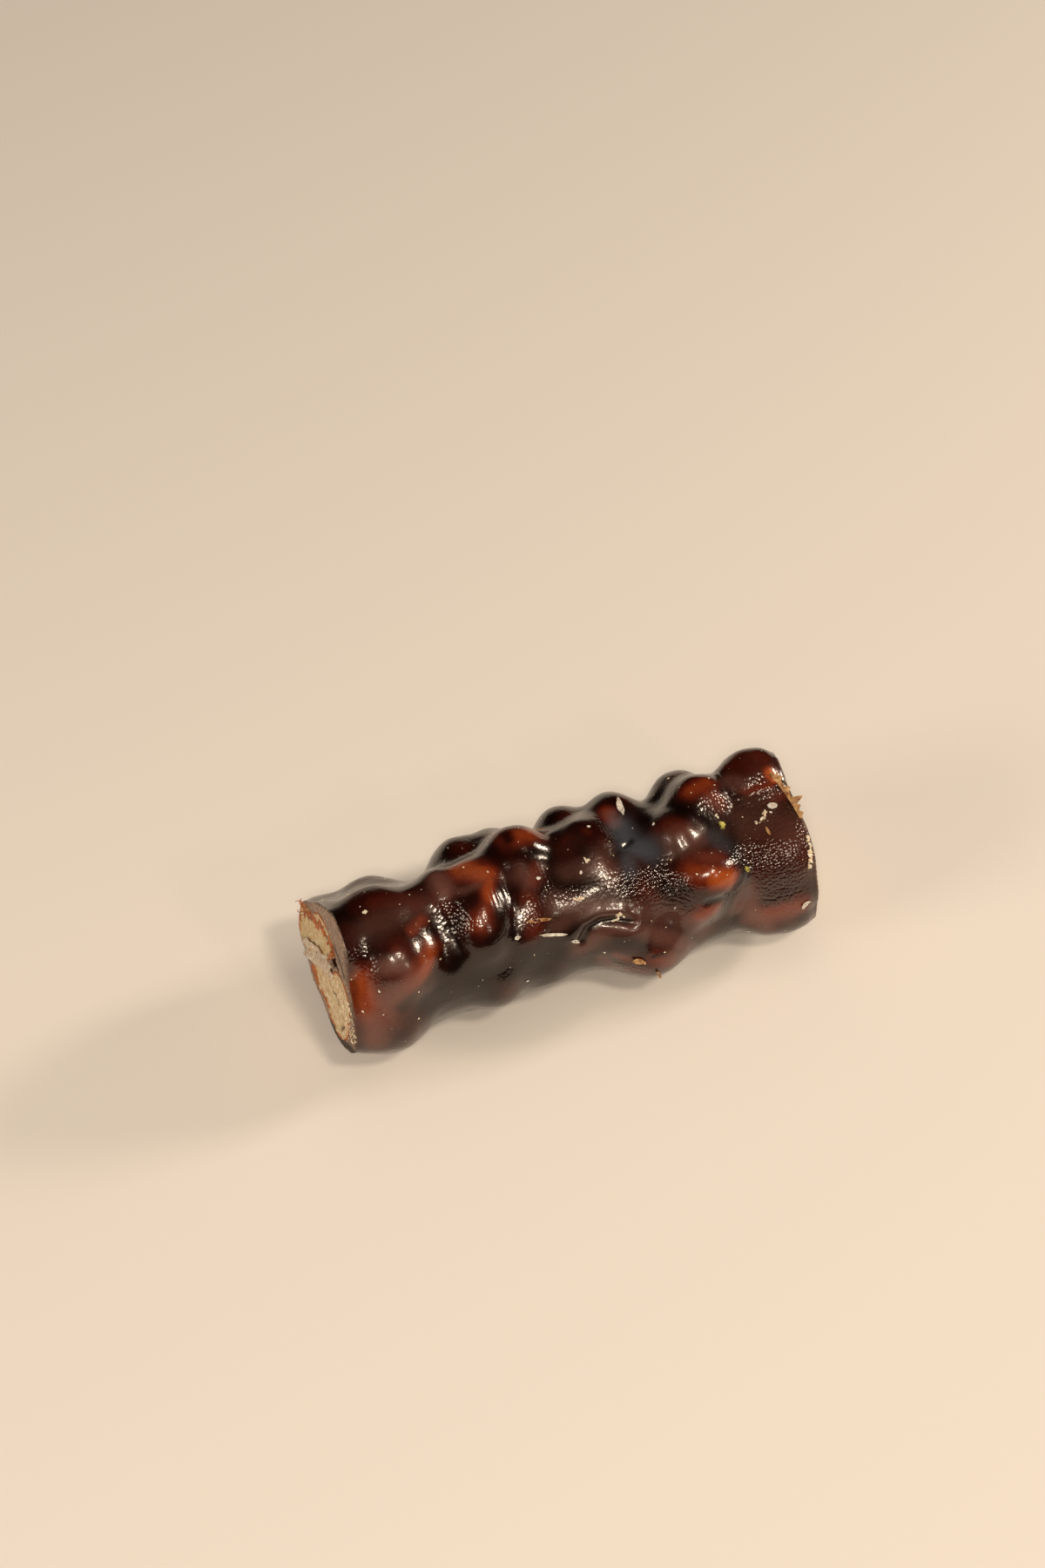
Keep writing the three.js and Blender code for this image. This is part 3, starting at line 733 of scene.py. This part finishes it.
def cut_half(node, side, growth, olive, score_turn):
    """Flesh of a half: grown to touch the must, cut a hair outside it, crumbled and scored."""
    piece = merged_copy(node, node + "_flesh")
    round_off(piece, 1)
    edit_all(piece)
    bpy.ops.transform.shrink_fatten(value=growth)
    bpy.ops.object.mode_set(mode="OBJECT")
    remesh(piece, flesh_voxel)
    slice_off(piece, side, flesh_proud)
    remesh(piece, flesh_voxel)
    place = points_of(piece.data)
    inset = behind_cut(place, side) + flesh_proud
    middle, outwards = cuts[side]
    sides = [
        tuple(f.vertices) for f in piece.data.polygons
        if f.normal.dot(outwards) < 0.5 or (f.center - middle).dot(outwards) < flesh_proud - 0.5 * mm
    ]
    rim = BVHTree.FromPolygons([v.co.copy() for v in piece.data.vertices], sides)
    rind = np.array([rim.find_nearest(Vector(co))[3] or 0 for co in place], np.float32)
    on_face = 1 - ease(inset, 0.1 * mm, 0.5 * mm)
    along = place @ np.array([0, math.cos(score_turn), math.sin(score_turn)], np.float32)
    crumble = 0.16 * mm * grain_at(place, 1.5 * mm, 11) + 0.1 * mm * grain_at(place, 0.7 * mm, 12)
    score = 0.06 * mm * np.sin(along / mm * 5.2 + 2 * grain_at(place, 4 * mm, 13))
    push = (crumble + score - 0.1 * mm) * on_face * ease(rind, 0, 0.8 * mm)
    fissure = np.zeros(len(place), np.float32)
    if side < 0:
        surface = surface_of(piece)
        for path, radius, depth in flesh_fissures.values():
            spots = trace(surface, path)
            if len(spots):
                share = np.exp(-((far_from(place, spots) / (radius * mm)) ** 2)) * on_face
                push -= depth * mm * share
                fissure = np.maximum(fissure, share)
        for path, radius in wide_skin.values():
            spots = trace(surface, path)
            if len(spots):
                bare = far_from(place, spots) / (radius * mm) * (1 + 0.5 * grain_at(place, 0.9 * mm, 15))
                rind = np.minimum(rind, np.clip(bare - 0.6, 0, 9) * 0.5 * mm)
    move_points(piece, place + np.array(outwards, np.float32) * push[:, None])
    give_mask(piece.data, "rind", rind / mm * on_face)
    give_mask(piece.data, "olive", olive * np.clip(0.7 + 0.8 * grain_at(place, 3 * mm, 14), 0, 1))
    give_mask(piece.data, "fissure", fissure)
    piece.data.materials.append(flesh)
    select_only(piece)
    bpy.ops.object.shade_smooth()
    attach(piece, "root")
    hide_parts(node)


cut_half("kernel_left_lower", -1, 0.45 * mm, olive=0.25, score_turn=0.5)
cut_half("kernel_left_upper", -1, 0.95 * mm, olive=1.0, score_turn=0.5)
cut_half("kernel_right_front", 1, 0.45 * mm, olive=0.2, score_turn=1.9)
cut_half("kernel_right_back", 1, 0.45 * mm, olive=0.1, score_turn=2.2)
cut_half("kernel_right_lower", 1, 0.45 * mm, olive=0.2, score_turn=0.3)

# The papery walls that part the two sides of a walnut: thin, whitish sheets that dried crumpled between the
# halves and were torn by the knife at the cuts.
paper, paper_tree, paper_shader = material(
    "papery_wall", Roughness=0.55, Subsurface_Weight=0.3, Subsurface_Scale=0.5 * mm, Specular_IOR_Level=0.4
)
paper_fibre = grain_in(paper_tree, 1300, 5, 0.7)
paper_tint = ramp(
    paper_tree, paper_fibre,
    (0.3, colour(142, 114, 90)), (0.5, colour(196, 174, 150)), (0.7, colour(232, 220, 202)),
)
paper_tree.links.new(paper_tint, paper_shader.inputs["Base Color"])
paper_tree.links.new(bumped(paper_tree, paper_fibre, 0.6, 0.1 * mm), paper_shader.inputs["Normal"])
for node, side in (("septum_left", -1), ("septum_right", 1)):
    wall = merged_copy(node, node + "_paper")
    edit_all(wall)
    bpy.ops.mesh.subdivide(number_cuts=5)
    bpy.ops.object.mode_set(mode="OBJECT")
    place = points_of(wall.data)
    inset = behind_cut(place, side)
    torn = 1 - ease(inset, -0.6 * mm, 1.2 * mm)
    crumple = np.stack([grain_at(place, 1.6 * mm, seed) for seed in (21, 22, 23)], axis=1)
    place += crumple * np.array([0.25, 0.22, 0.22], np.float32) * mm
    place[:, 0] -= side * 0.5 * mm * torn * np.clip(grain_at(place, 0.9 * mm, 24) + 0.4, 0, 1)
    move_points(wall, place)
    wall.data.materials.append(paper)
    select_only(wall)
    bpy.ops.object.shade_smooth()
    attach(wall, "root")
    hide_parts(node)


def on_cut(side, at, proud=0.0):
    """Where the sight line through a pixel crosses the plane of a cut, or one beside it."""
    middle, outwards = cuts[side]
    line = sight_line(at)
    return eye + line * ((middle + proud * outwards - eye).dot(outwards) / line.dot(outwards))


def laid_sheet(name, columns, rows, thickness, place_of):
    """Thin sheet: a grid whose points are laid by their shares across and along, then given its wall."""
    bpy.ops.object.select_all(action="DESELECT")
    bpy.ops.mesh.primitive_grid_add(x_subdivisions=columns, y_subdivisions=rows, size=1)
    piece = bpy.context.object
    piece.name = name
    move_points(piece, [place_of(v.co.x + 0.5, v.co.y + 0.5) for v in piece.data.vertices])
    apply_modifier(piece, "SOLIDIFY", thickness=thickness, offset=0)
    edit_all(piece)
    bpy.ops.mesh.normals_make_consistent(inside=False)
    bpy.ops.object.mode_set(mode="OBJECT")
    return piece


def pixel_along(path, share):
    """Pixel at a share from 0 to 1 of the way through a path's steps."""
    step = min(share, 0.9999) * (len(path) - 1)
    i = int(step)
    return part_way(path[i], path[i + 1], step - i)


# A loose film of the same papery wall. It came off with the knife and stuck to the left cut, between the two
# halves, where it is laid along a path of pixels.
film_path = [(351, 1086), (360, 1093), (369, 1101), (377, 1109), (382, 1117)]
film_half_width = 2.3 * mm


def film_place(u, v):
    outwards = cuts[-1][1]
    spot = on_cut(-1, pixel_along(film_path, v))
    along = (on_cut(-1, film_path[-1]) - on_cut(-1, film_path[0])).normalized()
    width = film_half_width * (0.55 + 0.5 * math.sin(math.pi * min(1, v + 0.15)))
    ragged = 1 + 0.35 * noise.noise(Vector((v * 9, u * 3, 4.2)))
    spot += along.cross(outwards) * (2 * u - 1) * width * ragged
    lift = 0.3 + 0.28 * noise.noise(Vector((u * 4, v * 7, 1.5))) + 0.25 * math.sin(9 * u + 5 * v)
    return spot + outwards * lift * mm


film = laid_sheet("papery_film", 12, 20, 0.1 * mm, film_place)
film.data.materials.append(paper)
select_only(film)
bpy.ops.object.shade_smooth()
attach(film, "root")

# Bits of nut left on the sticky coat by the knife: cream crumbs, pale flakes of papery wall, brown flakes of
# walnut skin and a few green-yellow bits. Each kind is modelled once and copied to where it lies.
random.seed(7)


def crumb_shape(name, rough, detail):
    bpy.ops.object.select_all(action="DESELECT")
    bpy.ops.mesh.primitive_ico_sphere_add(subdivisions=detail, radius=1)
    piece = bpy.context.object
    piece.name = name
    place = points_of(piece.data)
    dent = 1 + rough * grain_at(place, 0.8, 31) + 0.6 * rough * grain_at(place, 0.4, 32)
    move_points(piece, place * dent[:, None])
    return piece


def flake_shape(name, seed):
    """Flake of unit half length: a jagged, curled, thin plate."""
    def place_of(u, v):
        x, y = 2 * v - 1, 2 * u - 1
        round_off_edge = max(0.12, (1 - x * x) ** (0.45 + 0.25 * seed))
        jag = 1 + 0.28 * noise.noise(Vector((x * 3.1, y * 2.3, seed * 3.3)))
        bend = 0.9 * (x * x - 0.3) + 0.6 * y * y + 0.7 * noise.noise(Vector((x * 1.7, y * 1.7, seed * 5.1)))
        return Vector((x * jag, y * round_off_edge * jag, bend))

    return laid_sheet(name, 7, 9, 0.35, place_of)


crumb = crumb_shape("crumb", 0.85, 2)
flakes = [flake_shape(f"flake_{letter}", seed) for seed, letter in enumerate("abc")]


def copy_to(base, middle, along, out, size):
    """Copy of a shape of unit half size, laid with its length along and its face out."""
    out = out.normalized()
    along = (along - out * along.dot(out)).normalized()
    turn = Matrix((along, out.cross(along), out)).transposed().to_4x4()
    mesh = base.data.copy()
    mesh.transform(Matrix.Translation(middle) @ turn @ Matrix.Diagonal((*(half * mm for half in size), 1)))
    piece = bpy.data.objects.new(base.name + "_copy", mesh)
    bpy.context.collection.objects.link(piece)
    return piece


def joined(name, pieces, coating):
    """Join copies into one finished piece."""
    select_only(pieces[0])
    for piece in pieces:
        piece.select_set(True)
    bpy.ops.object.join()
    pieces[0].name = name
    pieces[0].data.name = name
    pieces[0].data.materials.clear()
    pieces[0].data.materials.append(coating)
    bpy.ops.object.shade_smooth_by_angle(angle=math.radians(40))
    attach(pieces[0], "root")


def nearest_landing(at):
    """Landing on the coat of a pixel, or of the first one from it towards the strand's middle that meets it."""
    for share in np.linspace(0, 0.5, 60):
        spot, out = landing(coat_surface, part_way(at, strand_middle_pixel, share))
        if spot is not None:
            return spot, out


def lying(base, start, end, half_width, half_height):
    """Copy that lies on the coat with its ends at two pixels."""
    first, out_first = nearest_landing(start)
    last, out_last = nearest_landing(end)
    length = (last - first).length
    middle = (first + last) / 2 + (out_first + out_last) / 2 * half_height * mm * 0.6
    return copy_to(base, middle, last - first, out_first + out_last, (length / 2 / mm, half_width, half_height))


def any_direction():
    return Vector((random.uniform(-1, 1), random.uniform(-1, 1), random.uniform(-1, 1)))


def scattered(base, count, smallest, largest, flatness, low):
    """Copies strewn over the coat, mostly where it faces up."""
    faces = [f for f in coat.data.polygons if f.center.z > low and abs(f.center.x) < cad_box[1].x - 2.5 * mm]
    made = []
    while len(made) < count:
        face = random.choice(faces)
        if face.normal.z < random.uniform(-0.4, 0.6):
            continue
        size = smallest + (largest - smallest) * random.random() ** 3
        along = any_direction()
        spread = random.uniform(0.5, 0.9)
        made.append(copy_to(base, face.center + face.normal * size * flatness * 0.5 * mm, along, face.normal,
                            (size, size * spread, size * flatness)))
    return made


def plain_bits(name, dark, light, scale=1500):
    """Material of small bits, grainy between two colours."""
    made, tree, shader = material(name, Roughness=0.6, Subsurface_Weight=0.1, Subsurface_Scale=0.4 * mm)
    tint = ramp(tree, grain_in(tree, scale, 3), (0.35, colour(*dark)), (0.65, colour(*light)))
    tree.links.new(tint, shader.inputs["Base Color"])
    return made


cream_bits = plain_bits("cream_crumb", (214, 186, 146), (246, 234, 212))
pale_bits = plain_bits("pale_flake", (186, 168, 150), (236, 228, 216))
tan_bits = plain_bits("tan_flake", (132, 82, 42), (204, 160, 106), 900)
green_bits = plain_bits("green_bit", (120, 112, 40), (206, 196, 96))

# Clumps of crumbs: a path of pixels, the half size of a crumb in millimetres and how many there are
crumb_clumps = {
    "middle_top": (((671, 986), (677, 988)), 0.3, 4),
    "middle": (((661, 1034), (665, 1031), (670, 1032)), 0.32, 6),
    "pair_upper": (((707, 1051), (712, 1048), (717, 1052)), 0.3, 6),
    "pair_lower": (((703, 1057), (710, 1056)), 0.26, 4),
    "tiny_by_pebbles": (((749, 1020), (753, 1018)), 0.2, 2),
    "long_s": (((883, 932), (876, 934), (879, 939), (872, 944), (867, 945)), 0.3, 10),
    "first_crown": (((417, 1049), (420, 1046)), 0.25, 3),
    "first_low": (((434, 1138), (437, 1139)), 0.2, 2),
    "glow_by_cut": (((414, 1160), (416, 1161)), 0.18, 2),
    "by_green": (((821, 936), (825, 938)), 0.26, 3),
    "right_rim": (((927, 962), (931, 974), (931, 984), (929, 996)), 0.36, 16),
}
crumbs = []
for path, half, count in crumb_clumps.values():
    for i in range(count):
        at = [p + random.uniform(-1.2, 1.2) for p in pixel_along(path, (i + 0.5) / count)]
        spot, out = nearest_landing(at)
        along = any_direction()
        size = half * random.uniform(0.4, 1.5)
        crumbs.append(copy_to(crumb, spot + out * size * 0.3 * mm, along, out, (size, size * 0.7, size * 0.6)))
crumbs += scattered(crumb, 240, 0.05, 0.2, 0.6, 2 * mm)

# White crumbs that the blade pressed onto the right edge of the lower nut at the left cut
crumbled_edge = [(380, 1122), (390, 1140), (397, 1160), (402, 1180), (406, 1198)]
for i in range(150):
    at = pixel_along(crumbled_edge, random.random())
    at[0] += random.gauss(0, 3)
    size = random.uniform(0.08, 0.22)
    along = Vector((0, random.uniform(-1, 1), random.uniform(-1, 1)))
    crumbs.append(copy_to(crumb, on_cut(-1, at, 0.15 * mm), along, cuts[-1][1], (size, size * 0.7, size * 0.6)))
joined("cream_crumbs", crumbs, cream_bits)

pale_ends = {
    "long_flake": ((622, 1074), (648, 1072), 0.28, 0.15),
    "whitish": ((656, 1080), (664, 1081), 0.35, 0.2),
    "shaded": ((591, 1078), (597, 1075), 0.35, 0.15),
    "flat_by_corner": ((882, 926), (892, 925), 0.6, 0.2),
    "rim_low": ((921, 1041), (929, 1034), 0.5, 0.25),
    "beside_fifth": ((709, 918), (715, 937), 0.55, 0.4),
}
pale_flakes = [lying(flakes[i % 3], *ends) for i, ends in enumerate(pale_ends.values())]
pale_flakes += scattered(flakes[1], 50, 0.1, 0.4, 0.3, 3 * mm)
joined("pale_flakes", pale_flakes, pale_bits)

green_ends = {
    "upper": ((825, 945), (832, 948), 0.5, 0.4),
    "lower": ((828, 949), (831, 952), 0.4, 0.35),
    "by_bright_nut": ((855, 995), (859, 1000), 0.45, 0.4),
}
joined("green_bits", [lying(crumb, *ends) for ends in green_ends.values()], green_bits)

# Tan walnut skin: a thin ragged film that the knife pulled out of the right cut's rim, and slivers that stick
# to the coat.
rim_film_path = [(884, 888), (892, 897), (900, 908), (907, 918), (914, 929), (920, 940)]
rim_film_spikes = ((0.16, 0.05, 0.7), (0.4, 0.06, 0.8), (0.66, 0.05, 1.7), (0.78, 0.04, 0.9), (0.93, 0.04, 0.6))


def rim_film_place(u, v):
    width = 0.7 + 0.5 * noise.noise(Vector((v * 12, 3.1, 0.4)))
    for share, spread, height in rim_film_spikes:
        width += height * math.exp(-(((v - share) / spread) ** 2))
    spot, out = nearest_landing(pixel_along(rim_film_path, v))
    ripple = 0.3 * noise.noise(Vector((u * 2, v * 14, 7.7))) + 0.15 * math.sin(23 * v)
    spot = spot + (0.86 * image_right + 0.5 * image_up) * (width * u - 0.3) * mm
    spot += (0.25 * out + ripple * towards_camera) * mm
    spot.x = min(spot.x, cad_box[1].x + 2.2 * mm)
    return spot


sliver_ends = {
    "orange": ((607, 1058), (630, 1055), 0.3, 0.2),
    "brown": ((880, 951), (885, 959), 0.25, 0.2),
    "front_lobe": ((727, 1102), (741, 1104), 0.6, 0.3),
    "under_front_lobe": ((754, 1114), (758, 1120), 0.3, 0.3),
}
tan = [lying(flakes[i % 3], *ends) for i, ends in enumerate(sliver_ends.values())]
tan.append(laid_sheet("rim_film", 8, 60, 0.12 * mm, rim_film_place))
joined("tan_flakes", tan, tan_bits)
for base in (crumb, *flakes):
    bpy.data.objects.remove(base)

# Brown fibres: curls of walnut skin that the knife tore up at the upper corner of the left cut, and a fine
# hair on the third lump.
fibre_brown, _, _ = material("fibre", Base_Color=colour(168, 92, 44), Roughness=0.5)


def fibre(name, points, radius):
    line = bpy.data.curves.new(name, "CURVE")
    line.dimensions = "3D"
    line.bevel_depth = radius
    line.bevel_resolution = 1
    line.resolution_u = 4
    line.use_fill_caps = True
    spline = line.splines.new("NURBS")
    spline.points.add(len(points) - 1)
    for knot, co in zip(spline.points, points):
        knot.co = (*co, 1)
    spline.use_endpoint_u = True
    spline.order_u = 4
    piece = bpy.data.objects.new(name, line)
    bpy.context.collection.objects.link(piece)
    select_only(piece)
    bpy.ops.object.convert(target="MESH")
    return bpy.context.object


curls = []
curl_corner = (351, 1044)
for i in range(16):
    at = (curl_corner[0] + random.uniform(-5, 6), curl_corner[1] + random.uniform(-7, 7))
    spot = on_cut(-1, at, 0.1 * mm)
    points = []
    heading = Vector((random.uniform(-1.2, 0.2), random.uniform(-1, 1), random.uniform(-1, 1)))
    for step in range(7):
        points.append(spot.copy())
        heading = (heading + Vector([random.uniform(-0.9, 0.9) for _ in range(3)])).normalized()
        spot = spot + heading * 0.42 * mm
        spot.x = max(spot.x, cad_box[0].x - 0.6 * mm)
    curls.append(fibre("curl", points, random.uniform(0.05, 0.1) * mm))
hair_path = [(606, 957), (613, 952), (622, 951), (630, 954)]
hair = [landing(coat_surface, at)[0] + Vector((0, 0, 0.15 * mm)) for at in hair_path]
curls.append(fibre("hair", hair, 0.05 * mm))
joined("skin_curls", curls, fibre_brown)

# Floor and light: a plain pale surface, a window to the right, lamps about the camera, a paler side and a
# soft ceiling.
bpy.ops.mesh.primitive_plane_add(size=4)
floor = bpy.context.object
floor.name = "floor"
pale_floor, _, _ = material("pale_floor", Base_Color=colour(232, 222, 212), Roughness=0.75)
floor.data.materials.append(pale_floor)


def soft_light(name, direction, away, size, power, tint):
    """Area light at a distance from the strand, facing it."""
    bpy.ops.object.light_add(type="AREA", location=strand_middle + away * Vector(direction).normalized())
    light = bpy.context.object
    light.name = name
    light.data.shape = "RECTANGLE"
    light.data.size, light.data.size_y = size
    light.data.energy = power
    light.data.color = tint
    light.rotation_euler = (light.location - strand_middle).to_track_quat("Z", "Y").to_euler()


warm = (1.0, 0.88, 0.72)
soft_light("window", (0.93, 0.02, 0.42), 0.9, (0.18, 0.14), 3.8, warm)
soft_light("left_lamp", (-0.22, -0.54, 0.81), 1.0, (0.12, 0.12), 3.8, warm)
soft_light("right_lamp", (0.18, -0.44, 0.88), 1.0, (0.12, 0.12), 3.0, warm)
soft_light("front", (0.33, -0.74, 0.58), 1.0, (0.1, 0.1), 0.6, warm)
soft_light("side", (-0.92, -0.1, 0.42), 1.0, (0.36, 0.3), 3.2, (1.0, 0.89, 0.75))
soft_light("ceiling", (0.1, 0.5, 1.0), 1.3, (1.2, 1.2), 1.0, (1.0, 0.95, 0.9))
bpy.context.object.visible_glossy = False
world = bpy.data.worlds.new("room")
world.use_nodes = True
world.node_tree.nodes["Background"].inputs["Color"].default_value = (1.0, 0.97, 0.93, 1)
world.node_tree.nodes["Background"].inputs["Strength"].default_value = 0.07
world.cycles_visibility.glossy = False
bpy.context.scene.world = world
bpy.context.scene.view_settings.view_transform = "Standard"
